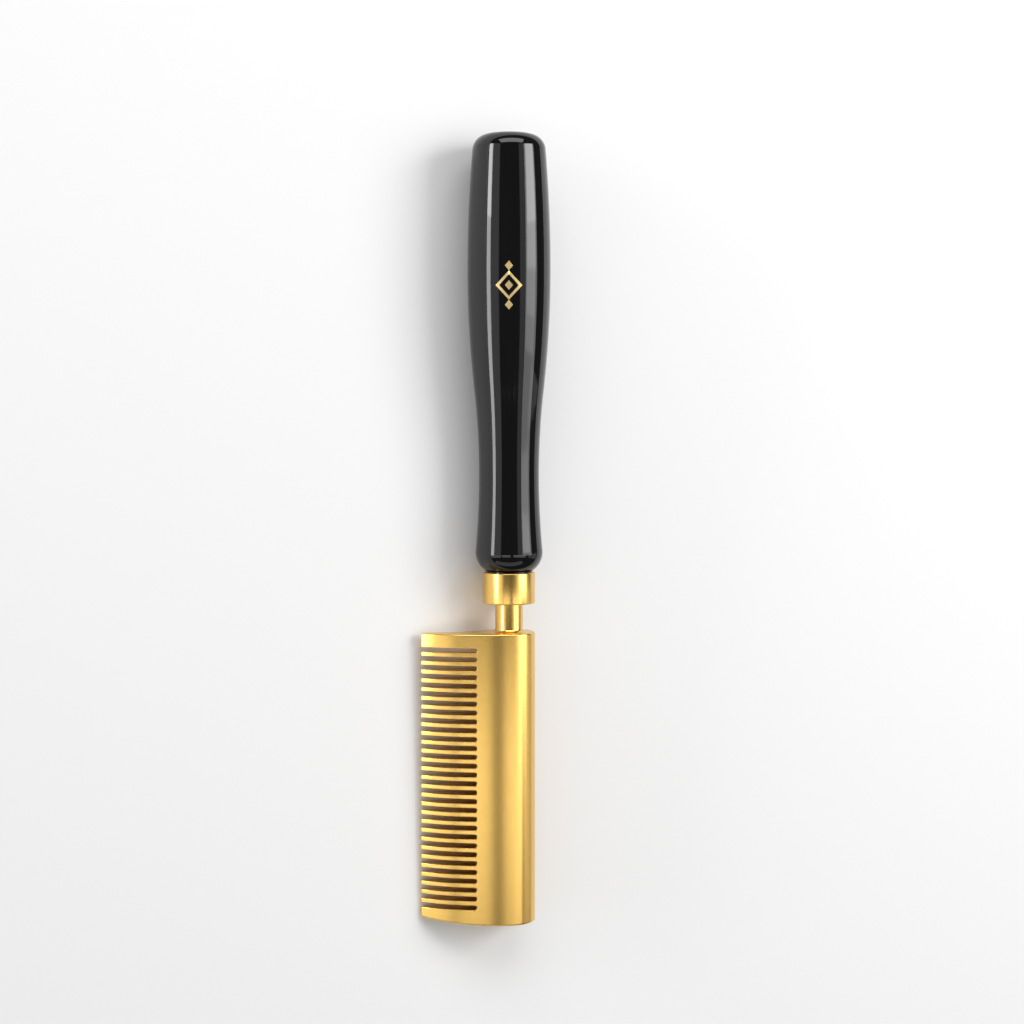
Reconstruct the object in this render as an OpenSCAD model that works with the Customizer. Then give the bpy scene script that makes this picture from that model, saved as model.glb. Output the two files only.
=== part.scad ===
// Pressing comb, heated on a stove: a one-piece brass comb head with thirty slots and curved
// teeth, a brass neck and ferrule, and a turned, black lacquered wooden handle on a steel tang.
//
// Every piece is drawn along the comb's own axes: Y is the axis of the handle, with the butt at
// +Y, the teeth point to -X, and the face of the comb is +Z. The flat shoulder of the comb head,
// where the neck starts, is Y = 0. lay_down() then sets the comb on the table as it really lies:
// on the handle's belly, on the spine and on the tips of the teeth.

/* [Comb head] */
// Radius of the round spine
spine_r = 6.5; // [5.5:0.1:8]
// Distance from the spine's axis to the ends of the teeth
tooth_reach = 22; // [19:0.5:27]
// Radius of the rounded ends of the teeth, seen along the spine
tip_r = 0.65; // [0.5:0.05:1]
// Height of the tooth ends above the spine's axis, which curves the teeth towards the face
tip_lift = 2.87; // [1:0.05:4]
// Radius of the convex face of the head
face_r = 35; // [30:1:60]
// Radius of the hollow back of the teeth
back_r = 26; // [20:1:50]
// Radius of the gently rounded toe, seen on the face
toe_r = 190; // [120:5:300]
// Distance of the toe's furthest point from the spine's axis
toe_peak = 1.5; // [0:0.1:3]
// Corner radius of the first guard tooth, at the shoulder
shoulder_corner_r = 0.8; // [0.3:0.1:1.5]
// Corner radius of the last guard tooth, at the toe
toe_corner_r = 1.2; // [0.3:0.1:1.5]

/* [Slots] */
// Number of slots between the teeth
slot_count = 30; // [20:1:36]
// Distance from one slot to the next
slot_pitch = 2.183; // [1.8:0.001:2.6]
// Width of a slot
slot_w = 1.15; // [0.8:0.05:1.4]
// Distance from the shoulder to the middle of the first slot
first_slot = 4.1; // [3:0.05:5]
// Distance from the spine's axis to the round end of a slot
slot_root = 7.85; // [6.8:0.05:9]
// Width of the last guard tooth at its tip, from the last slot to the toe
toe_guard = 2.6; // [2:0.1:4]

/* [Neck] */
// Length of the neck between the head and the ferrule
neck_len = 7.1; // [5:0.1:15]
// Radius of the neck
neck_r = 3.45; // [3:0.05:4.5]
// Radius of the hollow flare where the neck stands on the head
flare_r = 1; // [0.3:0.05:1.5]

/* [Ferrule] */
// Length of the ferrule
ferrule_len = 7.8; // [6:0.1:12]
// Outer radius of the ferrule
ferrule_r = 6.5; // [5.8:0.1:7.2]
// Thickness of the ferrule's round wall
ferrule_wall = 0.8; // [0.5:0.05:1]
// Thickness of the ferrule's closed end
ferrule_floor = 1; // [0.6:0.1:2]
// Bevel on the ferrule's two outer edges
ferrule_bevel = 0.3; // [0.1:0.05:0.4]

/* [Handle] */
// Length of the handle above the ferrule
handle_len = 109.8; // [100:0.5:130]
// Height of the bulb's widest place above the ferrule
bulb_at = 5; // [4:0.1:7]
// Radius of the bulb
bulb_r = 8.4; // [8:0.05:9]
// Height above the ferrule where the round shoulder under the bulb starts
shoulder_at = 0.2; // [0.1:0.05:1]
// Height of the waist's narrowest place above the ferrule
waist_at = 24.2; // [20:0.5:30]
// Radius of the waist
waist_r = 7.5; // [6.8:0.05:7.8]
// Height of the belly's widest place above the ferrule
belly_at = 75.5; // [65:0.5:80]
// Radius of the belly
belly_r = 10.4; // [9:0.1:12]
// Length of the stretch below the belly that bulges, before it turns hollow towards the waist
bulge_run = 30; // [20:0.5:35]
// Radius of the long curve from the belly to the butt
upper_r = 370; // [300:10:600]
// Radius of the domed butt
dome_r = 32; // [25:1:60]
// Radius of the rounded edge of the butt
butt_edge_r = 4; // [2:0.1:5]

/* [Tang] */
// Radius of the tang
tang_r = 2; // [1.5:0.05:2.2]
// Length of the tang screwed into the head
tang_in_head = 9; // [6:0.5:14]
// Length of the tang in the handle, above the ferrule
tang_in_handle = 42; // [30:1:60]
// Height of each barb above the tang
barb_h = 0.35; // [0.2:0.05:0.5]
// Number of barbs
barb_count = 8; // [3:1:10]
// Distance from one barb to the next
barb_pitch = 3; // [2:0.1:3]
// Clearance of the tang in the neck and in the ferrule
slip_gap = 0.1; // [0.05:0.01:0.2]
// Clearance of the barbs in the handle's bore, filled with glue
glue_gap = 0.05; // [0.02:0.01:0.2]
// Free depth past the tang's ends, in the head and in the handle
end_gap = 1.5; // [0.5:0.1:3]

/* [Foil] */
// Height of the middle of the foil ornament above the ferrule
foil_at = 71; // [60:0.5:85]
// Length of the ornament along the handle
foil_len = 12; // [8:0.5:14]
// Width of the ornament
foil_w = 6.6; // [5:0.1:8]
// Width of the outline of its large lozenge
foil_line = 0.6; // [0.4:0.05:0.8]
// Length and width of its two small lozenges
foil_small = [2.4, 2]; // [1:0.1:3]
// Thickness of the foil
foil_t = 0.12; // [0.1:0.01:0.2]

/* [Hidden] */
$fn = 96;
far = 60;
// Steps in a full turn of the long, shallow arcs
long_fn = 720;

// How far the rounded toe has drawn back at a distance x from the spine's axis
function toe_rise(x) = toe_r - sqrt(toe_r * toe_r - (x - toe_peak) * (x - toe_peak));

// Stations along the comb
head_len = first_slot + (slot_count - 1) * slot_pitch + slot_w / 2 + toe_guard
    + toe_rise(-tooth_reach);
rim_y = neck_len + ferrule_len;
butt_y = rim_y + handle_len;
toe_y = -head_len;
spigot_r = ferrule_r - ferrule_wall;
bore_r = tang_r + barb_h + glue_gap;

// Where two circles meet, on the left (side = 1) or on the right (side = -1) of the line a-b
function meet(a, ra, b, rb, side) =
    let (d = norm(b - a), u = (b - a) / d)
    let (along = (ra * ra - rb * rb + d * d) / (2 * d))
    let (off = sqrt(ra * ra - along * along))
    a + along * u + side * off * [-u.y, u.x];

// The point that lies past p, seen from c, at k times the radius r
function past(c, p, r, k = 1.4) = c + k * r * (p - c) / norm(p - c);

// The head's section, in X and Z: the spine and the tip are circles, and both the face arc and
// the back arc run out of them. Each arc starts this far under the circles, a hair short of
// tangent, so that it crosses them cleanly.
sink = 0.004;
spine_c = [0, 0];
tip_c = [tip_r - tooth_reach, tip_lift];
face_c = meet(spine_c, face_r - spine_r + sink, tip_c, face_r - tip_r + sink, 1);
back_c = meet(spine_c, back_r + spine_r - sink, tip_c, back_r + tip_r - sink, 1);

// The head's outline seen on the face: the toe's arc and its rounded corner, which crosses it in
// the same way, and the rounded corner at the shoulder
toe_c = [toe_peak, toe_y + toe_r];
toe_corner_x = toe_corner_r - tooth_reach;
toe_corner_off = toe_corner_x - toe_peak;
toe_corner_arm = toe_r - toe_corner_r + sink;
toe_corner_y = toe_c.y - sqrt(toe_corner_arm * toe_corner_arm - toe_corner_off * toe_corner_off);
toe_corner_c = [toe_corner_x, toe_corner_y];
shoulder_corner_c = [shoulder_corner_r - tooth_reach, -shoulder_corner_r];

// The handle's arcs, in radius and height above the ferrule. The hollow ones start a hair under
// the round ones in the same way, and the round ones run on under them for a short lap.
lap = 2;
shoulder_out = bulb_r - spigot_r;
shoulder_up = bulb_at - shoulder_at;
shoulder_r = (shoulder_out * shoulder_out + shoulder_up * shoulder_up) / (2 * shoulder_out);
shoulder_c = [bulb_r - shoulder_r, bulb_at];
waist_drop = bulb_r - sink - waist_r;
waist_run = waist_at - bulb_at;
bulb_sum = (waist_run * waist_run + waist_drop * waist_drop) / (2 * waist_drop);
hollow_r = bulb_sum - shoulder_r + sink;
bulb_turn = bulb_at + waist_run * shoulder_r / bulb_sum;
belly_rise = belly_r - waist_r;
belly_run = belly_at - waist_at;
belly_sum = (belly_run * belly_run + belly_rise * belly_rise) / (2 * belly_rise);
bulge_r = belly_sum * bulge_run / belly_run;
throat_rise = belly_rise - sink;
throat_sum = (belly_run * belly_run + throat_rise * throat_rise) / (2 * throat_rise);
throat_r = throat_sum - bulge_r + sink;
belly_turn = belly_at - bulge_run;
upper_c = [belly_r - upper_r, belly_at];
dome_c = [0, handle_len - dome_r];
edge_c = meet(dome_c, dome_r - butt_edge_r + sink, upper_c, upper_r - butt_edge_r + sink, -1);

// How the comb lies on a table: the plane under it touches the spine's toe end, the tip of the
// last tooth and the lower side of the belly
rest_span = rim_y + belly_at - toe_y;
rest_drop = bulge_r - belly_r + spine_r;
tilt = atan2(rest_span, rest_drop) - acos(bulge_r / norm([rest_span, rest_drop]));
tip_dist = norm(tip_c);
tip_step = spine_r - tip_r + (toe_corner_y - toe_y) * tan(tilt);
droop = asin(tip_step / tip_dist);
roll = droop + atan2(tip_c.y, -tip_c.x);
lift = spine_r * cos(tilt) + head_len * sin(tilt);
side_mid = (belly_r - tip_dist * cos(droop) - tip_r) / 2;
long_mid = ((butt_y + toe_y) * cos(tilt) - spine_r * sin(tilt)) / 2;

module lay_down() {
    translate([-side_mid, -long_mid, lift])
        rotate([tilt, 0, 0])
            rotate([0, -roll, 0])
                children();
}

// A body turned about the comb's axis, from a profile in radius and height above y
module turned(y) {
    translate([0, y, 0])
        rotate([-90, 0, 0])
            rotate_extrude()
                children();
}

// A plain round stretch or bore about the comb's axis
module round_bar(y, len, r) {
    translate([0, y, 0])
        rotate([-90, 0, 0])
            cylinder(h = len, r = r);
}

module head_section() {
    translate(spine_c)
        circle(r = spine_r);
    translate(tip_c)
        circle(r = tip_r);
    difference() {
        intersection() {
            translate(face_c)
                circle(r = face_r, $fn = long_fn);
            polygon([
                spine_c,
                past(face_c, spine_c, face_r),
                past(face_c, tip_c, face_r),
                tip_c,
                back_c
            ]);
        }
        translate(back_c)
            circle(r = back_r, $fn = long_fn);
    }
}

// One slot between two teeth, open at the tips and round at the spine end
module slot() {
    translate([0, 0, -far / 2])
        linear_extrude(far) {
            circle(d = slot_w);
            translate([-tooth_reach, -slot_w / 2])
                square([tooth_reach, slot_w]);
        }
}

// What a rounded corner at the teeth leaves over: c is the corner's centre, and p a point past the
// end of the head
module corner_waste(c, r, p) {
    translate([0, 0, -far / 2])
        linear_extrude(far)
            difference() {
                polygon([
                    c,
                    p,
                    [p.x - tooth_reach, p.y],
                    [p.x - tooth_reach, c.y]
                ]);
                translate(c)
                    circle(r = r);
            }
}

module comb_head() {
    color("goldenrod")
        lay_down()
            difference() {
                intersection() {
                    rotate([90, 0, 0])
                        linear_extrude(head_len + toe_r / 2)
                            head_section();
                    translate([toe_c.x, toe_c.y, -far / 2])
                        cylinder(h = far, r = toe_r, $fn = long_fn);
                }
                for (i = [0 : slot_count - 1])
                    translate([-slot_root - slot_w / 2, -first_slot - i * slot_pitch, 0])
                        slot();
                corner_waste(shoulder_corner_c, shoulder_corner_r,
                    [shoulder_corner_c.x, shoulder_corner_r]);
                corner_waste(toe_corner_c, toe_corner_r, past(toe_c, toe_corner_c, toe_r, 1.02));
                round_bar(-tang_in_head - end_gap, tang_in_head + end_gap, tang_r);
            }
}

module neck() {
    color("gold")
        lay_down()
            turned(0)
                difference() {
                    square([neck_r + flare_r, neck_len]);
                    translate([neck_r + flare_r, flare_r])
                        circle(r = flare_r);
                    translate([neck_r, flare_r])
                        square([2 * flare_r, neck_len]);
                    square([2 * (tang_r + slip_gap), 2 * neck_len], center = true);
                }
}

// One barb: a cone that slides in towards the butt and holds against a pull
module barb() {
    rotate([-90, 0, 0])
        cylinder(h = barb_pitch, r1 = tang_r + barb_h, r2 = tang_r);
}

module tang() {
    color("silver")
        lay_down() {
            round_bar(-tang_in_head, tang_in_head + rim_y + tang_in_handle, tang_r);
            for (i = [1 : barb_count])
                translate([0, rim_y + tang_in_handle - i * barb_pitch, 0])
                    barb();
        }
}

module ferrule() {
    color("gold")
        lay_down()
            turned(neck_len)
                difference() {
                    polygon([
                        [0, 0],
                        [ferrule_r - ferrule_bevel, 0],
                        [ferrule_r, ferrule_bevel],
                        [ferrule_r, ferrule_len - ferrule_bevel],
                        [ferrule_r - ferrule_bevel, ferrule_len],
                        [0, ferrule_len]
                    ]);
                    translate([0, ferrule_floor])
                        square([spigot_r, ferrule_len]);
                    square([2 * (tang_r + slip_gap), 4 * ferrule_floor], center = true);
                }
}

// A stretch of the handle's profile, between two heights
module stretch(low, high) {
    polygon([
        [0, low],
        [far, low],
        [far, high],
        [0, high]
    ]);
}

// A hollow arc that touches the waist
module waist_hollow(r) {
    translate([waist_r, waist_at])
        translate([r, 0])
            circle(r = r, $fn = long_fn);
}

// The swollen upper part of the handle's profile, from the belly's turn to the butt
module swell_profile(grow = 0) {
    intersection() {
        translate([belly_r - bulge_r, belly_at])
            circle(r = bulge_r + grow, $fn = long_fn);
        stretch(belly_turn - lap, belly_at);
    }
    difference() {
        intersection() {
            translate(upper_c)
                circle(r = upper_r + grow, $fn = long_fn);
            translate(dome_c)
                circle(r = dome_r + grow, $fn = long_fn);
            stretch(belly_at, handle_len);
        }
        difference() {
            polygon([
                edge_c,
                past(upper_c, edge_c, upper_r, 1.1),
                past(dome_c, edge_c, dome_r, 1.5)
            ]);
            translate(edge_c)
                circle(r = butt_edge_r + grow);
        }
    }
}

// The lower part of the profile: shoulder, bulb, waist and the start of the swell
module waist_profile() {
    intersection() {
        translate(shoulder_c)
            circle(r = shoulder_r);
        translate([spigot_r / 2, 0])
            square([far, bulb_turn + lap]);
    }
    square([spigot_r / 2, bulb_turn + lap]);
    difference() {
        stretch(bulb_turn, waist_at);
        waist_hollow(hollow_r);
    }
    difference() {
        stretch(waist_at, belly_turn);
        waist_hollow(throat_r);
    }
}

module handle() {
    color([0.06, 0.06, 0.07])
        lay_down()
            difference() {
                union() {
                    turned(rim_y) {
                        swell_profile();
                        waist_profile();
                    }
                    round_bar(neck_len + ferrule_floor, rim_y + bulb_at - neck_len - ferrule_floor,
                        spigot_r);
                }
                round_bar(neck_len, ferrule_len + tang_in_handle + end_gap, bore_r);
            }
}

// A lozenge of a given width and length
module lozenge(w, len) {
    polygon([
        [w / 2, 0],
        [0, len / 2],
        [-w / 2, 0],
        [0, -len / 2]
    ]);
}

// A pierced lozenge with a small one in its middle, and one more at each end
module foil_pattern() {
    big_len = foil_len - 2 * foil_small.x;
    difference() {
        lozenge(foil_w, big_len);
        lozenge(foil_w - 3 * foil_line, big_len - 3 * foil_line);
    }
    lozenge(foil_small.y, foil_small.x);
    for (side = [-1, 1])
        translate([0, side * (foil_len - foil_small.x) / 2])
            lozenge(foil_small.y, foil_small.x);
}

module foil_ornament() {
    color("gold")
        lay_down()
            intersection() {
                translate([0, rim_y + foil_at, 0])
                    linear_extrude(far)
                        foil_pattern();
                difference() {
                    turned(rim_y)
                        swell_profile(foil_t);
                    turned(rim_y)
                        swell_profile();
                }
            }
}

comb_head();
neck();
tang();
ferrule();
handle();
foil_ornament();
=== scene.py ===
import math

import bmesh
import bpy
from mathutils import Matrix, Vector


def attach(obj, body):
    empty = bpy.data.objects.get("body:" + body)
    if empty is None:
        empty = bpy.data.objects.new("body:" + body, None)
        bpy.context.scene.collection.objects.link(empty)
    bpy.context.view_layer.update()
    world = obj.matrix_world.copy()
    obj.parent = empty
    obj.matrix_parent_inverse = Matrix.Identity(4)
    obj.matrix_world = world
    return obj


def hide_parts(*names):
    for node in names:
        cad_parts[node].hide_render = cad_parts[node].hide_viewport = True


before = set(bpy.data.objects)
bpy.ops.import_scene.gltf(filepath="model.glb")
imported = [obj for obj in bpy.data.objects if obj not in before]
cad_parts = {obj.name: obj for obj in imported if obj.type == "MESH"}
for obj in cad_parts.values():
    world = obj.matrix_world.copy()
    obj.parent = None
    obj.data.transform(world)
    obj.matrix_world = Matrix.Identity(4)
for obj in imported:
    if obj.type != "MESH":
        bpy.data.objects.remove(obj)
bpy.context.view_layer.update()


# Comb head. One solid brass piece: a round spine that runs out into a thin, curved plate, which
# thirty saw slots part into teeth. It is brushed from the tips of the teeth over to the spine, all
# its edges are broken by hand, and it is screwed on the end of the tang.
#
# The comb is built along its own axes in millimetres, as the maker holds it: Y along the handle
# with the shoulder of the head at 0, the teeth towards -X, the face up. This is how it then lies.
comb_lies = (
    Matrix.Translation((0.0054825, -0.0262421, 0.00826256))
    @ Matrix.Rotation(math.radians(1.40349), 4, "X")
    @ Matrix.Rotation(math.radians(-23.5839), 4, "Y")
    @ Matrix.Scale(0.001, 4)
)

spine_r = 6.5
tooth_reach = 22
tip_r = 0.65
tip_lift = 2.87  # how far the tips stand above the middle of the spine
face_r = 35
back_r = 26
toe_r = 190
toe_peak = 1.5  # across, where the rounded toe reaches furthest
toe_corner_r = 1.2
shoulder_corner_r = 0.8
slot_count = 30
slot_pitch = 2.183
slot_w = 1.15
first_slot = 4.1  # from the shoulder to the middle of the first slot
slot_root = 7.85  # from the middle of the spine to the ends of the slots
toe_guard = 2.6
tang_r = 2
tang_hole = 10.5
tooth_edge = 0.12  # how far the edges of the teeth are broken
end_edge = 0.45  # the same at the shoulder and at the toe
edge_foot = 0.04  # the flat run beside a broken edge


def arc_centre(a, ra, b, rb, side):
    """Where circles about a and b meet, on the left (1) or right (-1) of the line a-b."""
    d = b - a
    along = (ra * ra - rb * rb + d.length_squared) / (2 * d.length)
    off = math.sqrt(ra * ra - along * along)
    u = d.normalized()
    return a + along * u + side * off * Vector((-u.y, u.x))


spine_c = Vector((0, 0))
tip_c = Vector((tip_r - tooth_reach, tip_lift))
face_c = arc_centre(spine_c, face_r - spine_r, tip_c, face_r - tip_r, 1)
back_c = arc_centre(spine_c, back_r + spine_r, tip_c, back_r + tip_r, 1)
face_on_spine = spine_c + (spine_c - face_c).normalized() * spine_r
face_on_tip = tip_c + (tip_c - face_c).normalized() * tip_r
back_on_spine = spine_c + (back_c - spine_c).normalized() * spine_r
back_on_tip = tip_c + (back_c - tip_c).normalized() * tip_r


def head_skin(side, x, inset):
    """The face (side 1) or back (-1) of the head at x, sunk by inset below its surface."""
    on_spine, on_tip = (face_on_spine, face_on_tip) if side > 0 else (back_on_spine, back_on_tip)
    if x > on_spine.x:
        centre, r, up, out = spine_c, spine_r, side, 1
    elif x < on_tip.x:
        centre, r, up, out = tip_c, tip_r, side, 1
    elif side > 0:
        centre, r, up, out = face_c, face_r, 1, 1
    else:
        centre, r, up, out = back_c, back_r, 1, -1
    dx = x - centre.x
    dz = up * math.sqrt(max(r * r - dx * dx, 0))
    return centre.x + dx - out * inset * dx / r, centre.y + dz - out * inset * dz / r


def broken_edge(r):
    """How far in from a wall, and how deep under the surface, each line of a rounded edge runs."""
    turns = [math.radians(a) for a in (0, 30, 60, 90)]
    rounded = [(r * (1 - math.cos(a)), r * (1 - math.sin(a))) for a in turns]
    return rounded + [(r + edge_foot, 0)]


head = bmesh.new()


def head_sheet(grid):
    """Adds a grid of (x, y, inset) on the face and on the back, and returns the last line of each,
    for a wall to close.
    """
    edges = []
    for side in (1, -1):
        rows = []
        for line in grid:
            points = [(head_skin(side, x, inset), y) for x, y, inset in line]
            rows.append([head.verts.new((p[0], y, p[1])) for p, y in points])
        for low, high in zip(rows, rows[1:]):
            for a, b, c, d in zip(low, low[1:], high[1:], high):
                head.faces.new((a, b, c, d))
        edges.append([row[-1] for row in rows])
    return edges


def head_wall(edges):
    """The wall between the edge of the face and the edge of the back."""
    face, back = edges
    for a, b, c, d in zip(face, face[1:], back[1:], back):
        head.faces.new((a, b, c, d))


def arc_rows(r, turns):
    """Places across the head under an arc of radius r, at angles in degrees from its middle."""
    return [r * math.sin(math.radians(a)) for a in turns]


# The lines that run along the head: round the tips, up the teeth, and over the spine
slot_c = -slot_root - slot_w / 2
half_pitch = slot_pitch / 2
slot_middles = [-first_slot - i * slot_pitch for i in range(slot_count)]
blade_from = -20.8
blade_steps = 13
flank_rows = [-6.5, -5.7, -4.95]
tip_rows = [-tooth_reach + tip_r * (1 - math.cos(math.radians(a))) for a in range(0, 91, 15)]
tooth_rows = tip_rows + [
    blade_from + i * (slot_c - blade_from) / blade_steps for i in range(blade_steps + 1)]
hole_rows = arc_rows(tang_r, range(-90, 91, 15))
spine_rows = [slot_c + half_pitch] + flank_rows + arc_rows(spine_r, range(-40, -19, 5))
spine_rows += hole_rows + arc_rows(spine_r, range(20, 91, 5))

# Each slot, with the half teeth on its two sides: up one side, round the saw's end and back
slot_edge = broken_edge(tooth_edge)
for y in slot_middles:
    grid = []
    for x in tooth_rows:
        grid.append([(x, y + half_pitch, 0)]
            + [(x, y + slot_w / 2 + d, inset) for d, inset in reversed(slot_edge)])
    for turn in range(75, -76, -15):
        a = math.radians(turn)
        reach = half_pitch / max(abs(math.cos(a)), abs(math.sin(a)))
        line = [(slot_c + reach * math.cos(a), y + reach * math.sin(a), 0)]
        for d, inset in reversed(slot_edge):
            r = slot_w / 2 + d
            line.append((slot_c + r * math.cos(a), y + r * math.sin(a), inset))
        grid.append(line)
    for x in reversed(tooth_rows):
        grid.append([(x, y - half_pitch, 0)]
            + [(x, y - slot_w / 2 - d, inset) for d, inset in reversed(slot_edge)])
    head_wall(head_sheet(grid))

# The spine behind the slots, on the lines that fan out from the round end of each slot
fan = [math.tan(math.radians(a)) * half_pitch for a in range(45, -31, -15)]
columns = [y + t for y in slot_middles for t in fan] + [slot_middles[-1] - half_pitch]
head_sheet([[(x, y, 0) for x in spine_rows] for y in columns])

# The two guard teeth with the ends of the spine, at the shoulder and at the rounded toe
cell_rows = [slot_c + half_pitch / math.tan(math.radians(a)) for a in (75, 60)]
guard_rows = tooth_rows + cell_rows + spine_rows
end_line = broken_edge(end_edge)


def toe_rise(x):
    """How far the toe's arc has fallen back from its furthest point, at x across."""
    return toe_r - math.sqrt(toe_r * toe_r - (x - toe_peak) ** 2)


head_len = first_slot + (slot_count - 1) * slot_pitch + slot_w / 2 + toe_guard
head_len += toe_rise(-tooth_reach)
toe_corner_x = toe_corner_r - tooth_reach
toe_corner_y = toe_r - head_len - math.sqrt(
    (toe_r - toe_corner_r) ** 2 - (toe_corner_x - toe_peak) ** 2)


def shoulder_end(x):
    """Where the head ends at x across, at the shoulder, with its rounded corner at the tips."""
    over = max(shoulder_corner_r - tooth_reach - x, 0)
    return math.sqrt(max(shoulder_corner_r ** 2 - over * over, 0)) - shoulder_corner_r


def toe_end(x):
    """Where the head ends at x across, at the toe, with its rounded corner at the tips."""
    over = toe_corner_x - x
    if over < 0:
        return toe_rise(x) - head_len
    return toe_corner_y - math.sqrt(max(toe_corner_r ** 2 - over * over, 0))


def guard_sheet(start, end, way):
    """A guard tooth and the spine beside it, from a line across the head out to one of its ends."""
    grid = []
    for x in guard_rows:
        room = abs(end(x) - start) - end_line[-1][0]
        line = [(x, start + way * room * t, 0) for t in (0, 0.25, 0.5, 0.75)]
        line += [(x, end(x) - way * d, inset) for d, inset in reversed(end_line)]
        grid.append(line)
    return head_sheet(grid)


shoulder_face, shoulder_back = guard_sheet(columns[0], shoulder_end, 1)
head_wall(guard_sheet(columns[-1], toe_end, -1))

# The flat shoulder, and the hole for the tang in its middle
first = guard_rows.index(hole_rows[0])
last = first + len(hole_rows) - 1
head_wall((shoulder_face[:first + 1], shoulder_back[:first + 1]))
head_wall((shoulder_face[last:], shoulder_back[last:]))
for side, edge in ((1, shoulder_face), (-1, shoulder_back)):
    rim = [Vector((x, 0, side * math.sqrt(max(tang_r ** 2 - x * x, 0)))) for x in hole_rows]
    mouth = [head.verts.new(p) for p in rim]
    bottom = [head.verts.new(p - Vector((0, tang_hole, 0))) for p in rim]
    middle = head.verts.new((0, -tang_hole, 0))
    head_wall((edge[first:last + 1], mouth))
    head_wall((mouth, bottom))
    for a, b in zip(bottom, bottom[1:]):
        head.faces.new((a, b, middle))

bmesh.ops.remove_doubles(head, verts=head.verts, dist=0.001)
bmesh.ops.recalc_face_normals(head, faces=head.faces)


line_unit = 100  # millimetres to one unit of the map that brushed lines follow
sharp_turn = 40


def finished_piece(name, body, node):
    """Lays a body built in the comb's own axes on the table, and makes it the piece for a node."""
    lines = body.loops.layers.uv.new("lines")
    for face in body.faces:
        for corner in face.loops:
            corner[lines].uv = (corner.vert.co.x / line_unit, corner.vert.co.y / line_unit)
    bmesh.ops.transform(body, matrix=comb_lies, verts=body.verts)
    mesh = bpy.data.meshes.new(name)
    body.to_mesh(mesh)
    body.free()
    mesh.shade_smooth()
    mesh.set_sharp_from_angle(angle=math.radians(sharp_turn))
    piece = bpy.data.objects.new(name, mesh)
    bpy.context.scene.collection.objects.link(piece)
    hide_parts(node)
    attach(piece, "root")
    return piece


comb = finished_piece("comb_head_brass", head, "comb_head")


def make_brushed_lines():
    """Fine lines that an abrasive leaves in metal, along U of the piece's line map."""
    coarse_scale, coarse_share, low, high = 0.13, 0.6, 0.35, 0.65
    group = bpy.data.node_groups.new("brushed_lines", "ShaderNodeTree")
    face = group.interface
    face.new_socket("Lines", in_out="INPUT", socket_type="NodeSocketVector")
    for name, value in (("Across", 1500.0), ("Along", 40.0), ("Depth", 0.05)):
        face.new_socket(name, in_out="INPUT", socket_type="NodeSocketFloat").default_value = value
    for name in ("Smooth", "Rough"):
        face.new_socket(name, in_out="INPUT", socket_type="NodeSocketFloat").default_value = 0.25
    for name in ("Light", "Dark"):
        face.new_socket(name, in_out="INPUT", socket_type="NodeSocketColor")
    face.new_socket("Color", in_out="OUTPUT", socket_type="NodeSocketColor")
    face.new_socket("Roughness", in_out="OUTPUT", socket_type="NodeSocketFloat")
    face.new_socket("Normal", in_out="OUTPUT", socket_type="NodeSocketVector")
    nodes, links = group.nodes, group.links
    given = nodes.new("NodeGroupInput")
    result = nodes.new("NodeGroupOutput")
    stretch = nodes.new("ShaderNodeCombineXYZ")
    links.new(given.outputs["Along"], stretch.inputs[0])
    links.new(given.outputs["Across"], stretch.inputs[1])
    scaled = nodes.new("ShaderNodeVectorMath")
    scaled.operation = "MULTIPLY"
    links.new(given.outputs["Lines"], scaled.inputs[0])
    links.new(stretch.outputs[0], scaled.inputs[1])
    hair = nodes.new("ShaderNodeTexNoise")
    hair.inputs["Scale"].default_value = 1.0
    hair.inputs["Detail"].default_value = 3.0
    hair.inputs["Roughness"].default_value = 0.65
    links.new(scaled.outputs[0], hair.inputs["Vector"])
    coarse = nodes.new("ShaderNodeVectorMath")
    coarse.operation = "SCALE"
    coarse.inputs["Scale"].default_value = coarse_scale
    links.new(scaled.outputs[0], coarse.inputs[0])
    streak = nodes.new("ShaderNodeTexNoise")
    streak.inputs["Scale"].default_value = 1.0
    streak.inputs["Detail"].default_value = 2.0
    links.new(coarse.outputs[0], streak.inputs["Vector"])
    both = nodes.new("ShaderNodeMath")
    both.operation = "MULTIPLY_ADD"
    both.inputs[1].default_value = coarse_share
    links.new(streak.outputs["Fac"], both.inputs[0])
    part = nodes.new("ShaderNodeMath")
    part.operation = "MULTIPLY"
    part.inputs[1].default_value = 1 - coarse_share
    links.new(hair.outputs["Fac"], part.inputs[0])
    links.new(part.outputs[0], both.inputs[2])
    tone = nodes.new("ShaderNodeMapRange")
    tone.inputs["From Min"].default_value = low
    tone.inputs["From Max"].default_value = high
    links.new(both.outputs[0], tone.inputs["Value"])
    colour = nodes.new("ShaderNodeMix")
    colour.data_type = "RGBA"
    links.new(tone.outputs["Result"], colour.inputs["Factor"])
    links.new(given.outputs["Dark"], colour.inputs["A"])
    links.new(given.outputs["Light"], colour.inputs["B"])
    links.new(colour.outputs["Result"], result.inputs["Color"])
    rough = nodes.new("ShaderNodeMapRange")
    rough.inputs["From Min"].default_value = low
    rough.inputs["From Max"].default_value = high
    links.new(both.outputs[0], rough.inputs["Value"])
    links.new(given.outputs["Rough"], rough.inputs["To Min"])
    links.new(given.outputs["Smooth"], rough.inputs["To Max"])
    links.new(rough.outputs["Result"], result.inputs["Roughness"])
    bump = nodes.new("ShaderNodeBump")
    bump.inputs["Distance"].default_value = 0.00002
    links.new(given.outputs["Depth"], bump.inputs["Strength"])
    links.new(hair.outputs["Fac"], bump.inputs["Height"])
    links.new(bump.outputs["Normal"], result.inputs["Normal"])
    return group


brushed_lines = make_brushed_lines()


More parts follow.
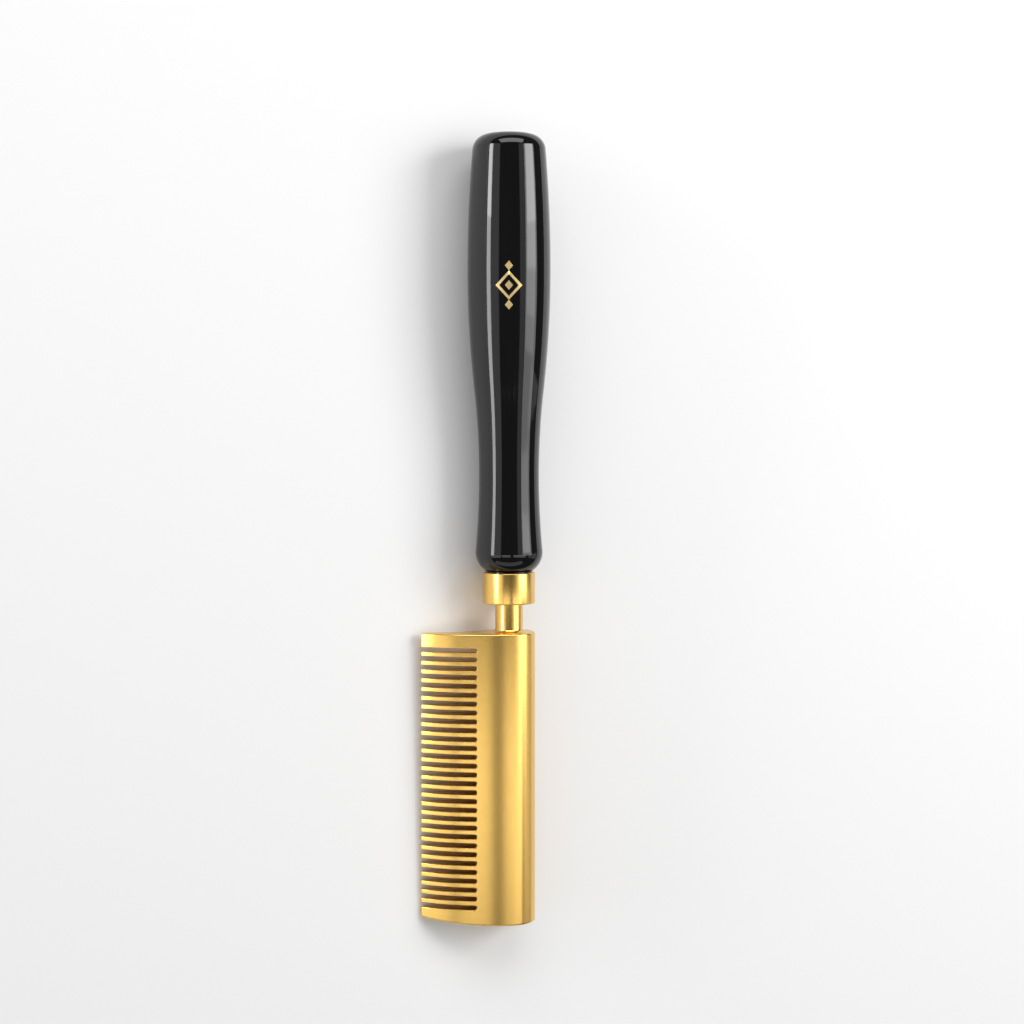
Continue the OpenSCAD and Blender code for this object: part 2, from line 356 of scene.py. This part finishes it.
def metal_finish(name, light, dark, smooth, rough, across, along, depth):
    """A bare metal with its brushed lines."""
    material = bpy.data.materials.new(name)
    material.use_nodes = True
    nodes, links = material.node_tree.nodes, material.node_tree.links
    shader = nodes["Principled BSDF"]
    shader.inputs["Metallic"].default_value = 1.0
    lines = nodes.new("ShaderNodeUVMap")
    lines.uv_map = "lines"
    brushed = nodes.new("ShaderNodeGroup")
    brushed.node_tree = brushed_lines
    links.new(lines.outputs["UV"], brushed.inputs["Lines"])
    values = (("Across", across), ("Along", along), ("Depth", depth), ("Smooth", smooth),
              ("Rough", rough), ("Light", (*light, 1)), ("Dark", (*dark, 1)))
    for socket, value in values:
        brushed.inputs[socket].default_value = value
    links.new(brushed.outputs["Color"], shader.inputs["Base Color"])
    links.new(brushed.outputs["Roughness"], shader.inputs["Roughness"])
    links.new(brushed.outputs["Normal"], shader.inputs["Normal"])
    return material


brass_light = (0.88, 0.56, 0.155)
brass_dark = (0.86, 0.54, 0.145)
comb_brass = metal_finish("comb_brass", brass_light, brass_dark,
    smooth=0.23, rough=0.25, across=2200.0, along=20.0, depth=0.1)
comb.data.materials.append(comb_brass)


# Neck. A short round brass collar on the tang between the head and the ferrule. It is turned, and
# its foot flares out in a small hollow where it stands on the head.
neck_len = 7.1
neck_r = 3.45
flare_r = 1
slip_gap = 0.1
slip_r = tang_r + slip_gap


def arc(cx, cy, r, start, end, steps):
    """Points of an arc in radius and height, from one angle in degrees to another."""
    turns = [math.radians(start + (end - start) * i / steps) for i in range(steps + 1)]
    return [(cx + r * math.cos(a), cy + r * math.sin(a)) for a in turns]


def turned_body(profile, steps, ring):
    """A body turned about the comb's axis. A ring's profile closes on itself."""
    body = bmesh.new()
    loops = []
    for r, y in profile:
        if r < 1e-6:
            loops.append([body.verts.new((0, y, 0))] * steps)
            continue
        turns = [2 * math.pi * k / steps for k in range(steps)]
        loops.append([body.verts.new((r * math.sin(a), y, r * math.cos(a))) for a in turns])
    pairs = list(zip(loops, loops[1:]))
    if ring:
        pairs.append((loops[-1], loops[0]))
    for low, high in pairs:
        for k in range(steps):
            corners = (low[k], low[(k + 1) % steps], high[(k + 1) % steps], high[k])
            body.faces.new(list(dict.fromkeys(corners)))
    bmesh.ops.recalc_face_normals(body, faces=body.faces)
    return body


neck_profile = [(slip_r, 0)]
neck_profile += arc(neck_r + flare_r, flare_r, flare_r, 270, 180, 8)
neck_profile += [(neck_r, neck_len), (slip_r, neck_len)]
neck = finished_piece("neck_brass", turned_body(neck_profile, 96, True), "neck")
fitting_brass = metal_finish("fitting_brass", brass_light, brass_dark,
    smooth=0.22, rough=0.25, across=1800.0, along=3.0, depth=0.1)
neck.data.materials.append(fitting_brass)


# Ferrule. A turned brass cup with a floor, which holds the end of the wood together. Its two outer
# edges are rounded over, and the tang passes through its floor.
ferrule_len = 7.8
ferrule_r = 6.5
ferrule_wall = 0.8
ferrule_floor = 1
ferrule_round = 0.3
rim_y = neck_len + ferrule_len
cup_y = neck_len + ferrule_floor
spigot_r = ferrule_r - ferrule_wall
edge_c = ferrule_r - ferrule_round

ferrule_profile = [(slip_r, neck_len)]
ferrule_profile += arc(edge_c, neck_len + ferrule_round, ferrule_round, -90, 0, 5)
ferrule_profile += arc(edge_c, rim_y - ferrule_round, ferrule_round, 0, 90, 5)
ferrule_profile += [(spigot_r, rim_y), (spigot_r, cup_y), (slip_r, cup_y)]
ferrule = finished_piece("ferrule_brass", turned_body(ferrule_profile, 128, True), "ferrule")
ferrule.data.materials.append(fitting_brass)


# Handle. Hardwood turned on a lathe, with a bulb above the ferrule, a waist, a long swelling belly
# and a domed butt, dipped in thick black gloss lacquer. Its spigot sits in the ferrule, and the
# tang is glued in its bore.
handle_len = 109.8
bulb_at = 5
bulb_r = 8.4
shoulder_at = 0.2
waist_at = 24.2
waist_r = 7.5
belly_at = 75.5
belly_r = 10.4
bulge_run = 30
upper_r = 370
dome_r = 32
butt_edge_r = 4
bore_r = 2.4
bore_depth = 43.5
bore_end = rim_y + bore_depth
spigot_edge = 0.2

# The profile is arcs that touch: the bulb's shoulder, the hollow and the throat of the waist, the
# bulge and the upper run of the belly, the edge of the butt and its dome
shoulder_out = bulb_r - spigot_r
shoulder_r = (shoulder_out ** 2 + (bulb_at - shoulder_at) ** 2) / (2 * shoulder_out)
waist_run = waist_at - bulb_at
waist_drop = bulb_r - waist_r
bulb_sum = (waist_run ** 2 + waist_drop ** 2) / (2 * waist_drop)
hollow_r = bulb_sum - shoulder_r
belly_run = belly_at - waist_at
belly_rise = belly_r - waist_r
belly_sum = (belly_run ** 2 + belly_rise ** 2) / (2 * belly_rise)
bulge_r = belly_sum * bulge_run / belly_run
throat_r = belly_sum - bulge_r
upper_c = Vector((belly_r - upper_r, belly_at))
dome_c = Vector((0, handle_len - dome_r))
butt_edge_c = arc_centre(dome_c, dome_r - butt_edge_r, upper_c, upper_r - butt_edge_r, -1)


def steer(a, b):
    """The direction from a to b in degrees."""
    return math.degrees(math.atan2(b.y - a.y, b.x - a.x))


shoulder_c = Vector((bulb_r - shoulder_r, bulb_at))
hollow_c = Vector((waist_r + hollow_r, waist_at))
throat_c = Vector((waist_r + throat_r, waist_at))
bulge_c = Vector((belly_r - bulge_r, belly_at))
groove = -math.degrees(math.acos((spigot_r - shoulder_c.x) / shoulder_r))
turn = steer(shoulder_c, hollow_c)
swell = steer(bulge_c, throat_c)
edge_start = steer(upper_c, butt_edge_c)
edge_end = steer(dome_c, butt_edge_c)
above_rim = arc(*shoulder_c, shoulder_r, groove, turn, 28)
above_rim += arc(*hollow_c, hollow_r, 180 + turn, 180, 16)[1:]
above_rim += arc(*throat_c, throat_r, 180, 180 + swell, 20)[1:]
above_rim += arc(*bulge_c, bulge_r, swell, 0, 24)[1:]
above_rim += arc(*upper_c, upper_r, 0, edge_start, 20)[1:]
above_rim += arc(*butt_edge_c, butt_edge_r, edge_start, edge_end, 16)[1:]
above_rim += arc(*dome_c, dome_r, edge_end, 90, 8)[1:-1] + [(0, handle_len)]

handle_profile = [(0, bore_end), (bore_r, bore_end), (bore_r, cup_y)]
handle_profile += [(spigot_r - spigot_edge, cup_y), (spigot_r, cup_y + spigot_edge)]
handle_profile += [(r, rim_y + t) for r, t in above_rim]
handle = finished_piece("handle_lacquered", turned_body(handle_profile, 160, False), "handle")


def make_lacquer_skin():
    """Flow marks, dust and faint rubbing in a dipped gloss coat, from places in metres."""
    group = bpy.data.node_groups.new("lacquer_skin", "ShaderNodeTree")
    face = group.interface
    face.new_socket("Place", in_out="INPUT", socket_type="NodeSocketVector")
    face.new_socket("Gloss", in_out="INPUT", socket_type="NodeSocketFloat").default_value = 0.05
    face.new_socket("Rubbed", in_out="INPUT", socket_type="NodeSocketFloat").default_value = 0.1
    face.new_socket("Coat", in_out="INPUT", socket_type="NodeSocketColor")
    face.new_socket("Wood", in_out="INPUT", socket_type="NodeSocketColor")
    face.new_socket("Color", in_out="OUTPUT", socket_type="NodeSocketColor")
    face.new_socket("Roughness", in_out="OUTPUT", socket_type="NodeSocketFloat")
    face.new_socket("Height", in_out="OUTPUT", socket_type="NodeSocketFloat")
    nodes, links = group.nodes, group.links
    given = nodes.new("NodeGroupInput")
    result = nodes.new("NodeGroupOutput")

    def noise(scale, detail, stretch=(1, 1, 1)):
        grown = nodes.new("ShaderNodeVectorMath")
        grown.operation = "MULTIPLY"
        grown.inputs[1].default_value = stretch
        links.new(given.outputs["Place"], grown.inputs[0])
        texture = nodes.new("ShaderNodeTexNoise")
        texture.inputs["Scale"].default_value = scale
        texture.inputs["Detail"].default_value = detail
        links.new(grown.outputs[0], texture.inputs["Vector"])
        return texture.outputs["Fac"]

    def ranged(value, low, high, to_low, to_high):
        step = nodes.new("ShaderNodeMapRange")
        for socket, limit in (("From Min", low), ("From Max", high), ("To Min", to_low),
                              ("To Max", to_high)):
            if isinstance(limit, (int, float)):
                step.inputs[socket].default_value = limit
            else:
                links.new(limit, step.inputs[socket])
        links.new(value, step.inputs["Value"])
        return step.outputs["Result"]

    rub = noise(70, 4)
    links.new(ranged(rub, 0.45, 0.75, given.outputs["Gloss"], given.outputs["Rubbed"]),
        result.inputs["Roughness"])
    grain = noise(260, 3, (1, 0.08, 1))
    colour = nodes.new("ShaderNodeMix")
    colour.data_type = "RGBA"
    links.new(ranged(grain, 0.45, 0.8, 0.0, 1.0), colour.inputs["Factor"])
    links.new(given.outputs["Coat"], colour.inputs["A"])
    links.new(given.outputs["Wood"], colour.inputs["B"])
    links.new(colour.outputs["Result"], result.inputs["Color"])
    links.new(noise(420, 1), result.inputs["Height"])
    return group


black_lacquer = bpy.data.materials.new("black_lacquer")
black_lacquer.use_nodes = True
nodes, links = black_lacquer.node_tree.nodes, black_lacquer.node_tree.links
shader = nodes["Principled BSDF"]
place = nodes.new("ShaderNodeTexCoord")
skin = nodes.new("ShaderNodeGroup")
skin.node_tree = make_lacquer_skin()
skin.inputs["Gloss"].default_value = 0.05
skin.inputs["Rubbed"].default_value = 0.10
skin.inputs["Coat"].default_value = (0.0025, 0.0025, 0.003, 1)
skin.inputs["Wood"].default_value = (0.0042, 0.0038, 0.0035, 1)
links.new(place.outputs["Object"], skin.inputs["Place"])
links.new(skin.outputs["Color"], shader.inputs["Base Color"])
links.new(skin.outputs["Roughness"], shader.inputs["Roughness"])
flow = nodes.new("ShaderNodeBump")
flow.inputs["Strength"].default_value = 0.15
flow.inputs["Distance"].default_value = 0.00005
links.new(skin.outputs["Height"], flow.inputs["Height"])
links.new(flow.outputs["Normal"], shader.inputs["Normal"])
handle.data.materials.append(black_lacquer)


# Foil ornament. Gold foil, hot stamped into the lacquer on the belly of the handle: a pierced
# lozenge round a small one, with one more small lozenge at each end.
foil_at = 71
foil_len = 12
foil_w = 6.6
foil_line = 0.6
small_len = 2.4
small_w = 2
foil_t = 0.03
foil_sink = 0.01

foil = bmesh.new()


def on_belly(x, t, rise):
    """A place on the face of the belly, at x across and at height t above the ferrule."""
    if t < belly_at:
        r = bulge_c.x + math.sqrt(bulge_r ** 2 - (t - belly_at) ** 2)
    else:
        r = upper_c.x + math.sqrt(upper_r ** 2 - (t - belly_at) ** 2)
    r += rise
    return Vector((x, rim_y + t, math.sqrt(r * r - x * x)))


def foil_patch(grid):
    """One patch of foil over a grid of (across, along), with its edges turned into the lacquer."""
    top, under = [
        [[foil.verts.new(on_belly(x, foil_at + t, rise)) for x, t in line] for line in grid]
        for rise in (foil_t, -foil_sink)]
    for sheet in (top, under):
        for low, high in zip(sheet, sheet[1:]):
            for a, b, c, d in zip(low, low[1:], high[1:], high):
                foil.faces.new((a, b, c, d))
    borders = [(top[0], under[0]), (top[-1], under[-1])]
    borders += [([line[k] for line in top], [line[k] for line in under]) for k in (0, -1)]
    for high, low in borders:
        for a, b, c, d in zip(high, high[1:], low[1:], low):
            foil.faces.new((a, b, c, d))


def lozenge_patch(w, length, middle):
    """A whole lozenge, with its middle that far along from the middle of the ornament."""
    steps = [i / 3 - 1 for i in range(7)]
    foil_patch([[((a + b) / 4 * w, (a - b) / 4 * length + middle) for a in steps] for b in steps])


big_len = foil_len - 2 * small_len
rings = ((foil_w, big_len), (foil_w - 3 * foil_line, big_len - 3 * foil_line))
side_steps = 12
for x_way, y_way in ((1, 1), (1, -1), (-1, -1), (-1, 1)):
    side = []
    for i in range(side_steps + 1):
        k = i / side_steps
        outer, inner = [(x_way * w / 2 * (1 - k), y_way * length / 2 * k) for w, length in rings]
        side.append([[a + (b - a) * s for a, b in zip(outer, inner)] for s in (0, 0.5, 1)])
    foil_patch(side)
lozenge_patch(small_w, small_len, 0)
for end in (-1, 1):
    lozenge_patch(small_w, small_len, end * (foil_len - small_len) / 2)
bmesh.ops.remove_doubles(foil, verts=foil.verts, dist=0.0005)
bmesh.ops.recalc_face_normals(foil, faces=foil.faces)
ornament = finished_piece("foil_lozenges", foil, "foil_ornament")

gold_foil = metal_finish("gold_foil", (0.96, 0.74, 0.36), (0.88, 0.64, 0.27),
    smooth=0.40, rough=0.52, across=220.0, along=160.0, depth=0.3)
ornament.data.materials.append(gold_foil)


# Tang. A steel rod, screwed into the head and glued with its barbs in the handle. It is hidden
# inside the neck, the ferrule and the wood.
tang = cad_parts["tang"]
lines = tang.data.uv_layers.new(name="lines")
for corner in tang.data.loops:
    spot = tang.data.vertices[corner.vertex_index].co
    lines.data[corner.index].uv = (spot.x * (1000 / line_unit), spot.y * (1000 / line_unit))
tang_steel = metal_finish("tang_steel", (0.56, 0.56, 0.58), (0.44, 0.44, 0.46),
    smooth=0.30, rough=0.42, across=500.0, along=6.0, depth=0.4)
for material_slot in tang.material_slots:
    material_slot.material = tang_steel


# The studio. A table top of pale paper, in a dim room. Soft boxes stand beside the handle and
# round the head, and one at each end, all at one distance from the comb's axis.
table_half = 3
paper_grey = 0.75
fade_from = 0.41  # metres from the comb, where the lamps' light falls away
fade_to = 1.13
far_tone = 0.76
room_light = 0.1
lamp_distance = 0.9
lamps_low = -145  # where the boxes beside the handle begin and end, along the comb in millimetres
lamps_top = 520
head_at = -237
head_high = 0.185


def stand(x, y, z):
    """A place in the comb's own axes, in the room."""
    return comb_lies @ Vector((x, y, z))


table = bmesh.new()
bmesh.ops.create_grid(table, x_segments=8, y_segments=8, size=table_half)
table_mesh = bpy.data.meshes.new("table_top")
table.to_mesh(table_mesh)
table.free()
table_top = bpy.data.objects.new("table_top", table_mesh)
bpy.context.scene.collection.objects.link(table_top)
paper = bpy.data.materials.new("paper")
paper.use_nodes = True
sheet = paper.node_tree.nodes["Principled BSDF"]
sheet.inputs["Base Color"].default_value = (paper_grey, paper_grey, paper_grey, 1)
sheet.inputs["Roughness"].default_value = 0.85
sheet.inputs["Specular IOR Level"].default_value = 0.2
sheet.inputs["Emission Color"].default_value = (1, 1, 1, 1)
table_mesh.materials.append(paper)

# Beyond the reach of the lamps the paper keeps its pale tone, for the eye and for reflections
nodes, links = paper.node_tree.nodes, paper.node_tree.links
spread = nodes.new("ShaderNodeTexCoord")
away = nodes.new("ShaderNodeVectorMath")
away.operation = "LENGTH"
links.new(spread.outputs["Object"], away.inputs[0])
far = nodes.new("ShaderNodeMapRange")
far.interpolation_type = "SMOOTHSTEP"
for socket, value in (("From Min", fade_from), ("From Max", fade_to), ("To Max", far_tone)):
    far.inputs[socket].default_value = value
links.new(away.outputs["Value"], far.inputs["Value"])
rays = nodes.new("ShaderNodeLightPath")
seen = rays.outputs["Is Camera Ray"]
for kind in ("Is Glossy Ray", "Is Transmission Ray"):
    either = nodes.new("ShaderNodeMath")
    either.operation = "MAXIMUM"
    links.new(seen, either.inputs[0])
    links.new(rays.outputs[kind], either.inputs[1])
    seen = either.outputs[0]
shown = nodes.new("ShaderNodeMath")
shown.operation = "MULTIPLY"
links.new(far.outputs["Result"], shown.inputs[0])
links.new(seen, shown.inputs[1])
links.new(shown.outputs[0], sheet.inputs["Emission Strength"])


turn_only = comb_lies.to_3x3()
turn_only.normalize()


def soft_box(name, aim, side_turn, rise_turn, wide, high, brightness):
    """An area lamp off a place on the comb's axis, turned to a side or towards the butt.

    The place is in millimetres, the turns in degrees, and the lamp's two sides in metres.
    """
    a, b = math.radians(side_turn), math.radians(rise_turn)
    out = turn_only @ Vector((math.sin(a) * math.cos(b), math.sin(b), math.cos(a) * math.cos(b)))
    across = (turn_only @ Vector((0, 1, 0))).cross(out).normalized()
    facing = Matrix((across, out.cross(across), out)).transposed().to_4x4()
    lamp = bpy.data.lights.new(name, "AREA")
    lamp.shape = "RECTANGLE"
    lamp.size = wide
    lamp.size_y = high
    lamp.energy = brightness * math.pi * wide * high
    box = bpy.data.objects.new(name, lamp)
    box.visible_camera = False
    box.matrix_world = Matrix.Translation(stand(0, aim, 0) + lamp_distance * out) @ facing
    bpy.context.scene.collection.objects.link(box)


def tall_box(name, low, side_turn, wide, brightness):
    """A soft box beside the handle, from a height along its axis up to past the butt."""
    high = (lamps_top - low) / 1000
    soft_box(name, (low + lamps_top) / 2, side_turn, 0, wide, high, brightness)


tall_box("handle_left", lamps_low, -58, 0.19, 8.0)
tall_box("handle_left_upper", 250, -57, 0.2, 4.5)
tall_box("handle_left_soft", lamps_low, -39.5, 0.37, 0.8)
tall_box("handle_right", lamps_low, 65, 0.6, 2.6)
tall_box("handle_right_soft", lamps_low, 38, 0.22, 0.6)
for low, side_turn, brightness in ((-20, 63, 1.3), (60, 64, 1.3), (160, 66, 2.0), (240, 67, 2.3)):
    tall_box("handle_right_strip", low, side_turn, 0.45, brightness)
soft_box("head_left", head_at, -46, 0, 0.585, head_high, 1.5)
soft_box("head_right", head_at, 38, 0, 0.75, head_high, 1.35)
soft_box("head_right_low", -185, 90, 0, 0.6, 0.29, 0.6)
soft_box("head_front", head_at, -9, 0, 0.48, head_high, 1.25)
soft_box("head_top_right", -175, 36, 0, 0.68, 0.06, 1.2)
soft_box("head_top_front", -175, -11, 0, 0.48, 0.06, 1.2)
soft_box("foot_end", 0, 0, -58, 1.5, 0.35, 0.8)
soft_box("butt_end", 120, 10, 50, 1.1, 0.5, 3.6)

world = bpy.data.worlds.new("room")
world.use_nodes = True
world.node_tree.nodes["Background"].inputs["Color"].default_value = (1, 1, 1, 1)
world.node_tree.nodes["Background"].inputs["Strength"].default_value = room_light
bpy.context.scene.world = world
bpy.context.scene.view_settings.view_transform = "Standard"

# The camera looks straight down on the comb's face, and takes in 256 mm across its axis
eye_height = 487
view_width = 256
camera = bpy.data.cameras.new("camera")
camera.sensor_width = 36
camera.lens = camera.sensor_width * eye_height / view_width
camera.shift_y = -0.0898
camera.clip_start = 0.01
eye = bpy.data.objects.new("camera", camera)
eye.matrix_world = Matrix.Translation(stand(0.75, 52.85, eye_height)) @ turn_only.to_4x4()
bpy.context.scene.collection.objects.link(eye)
bpy.context.scene.camera = eye
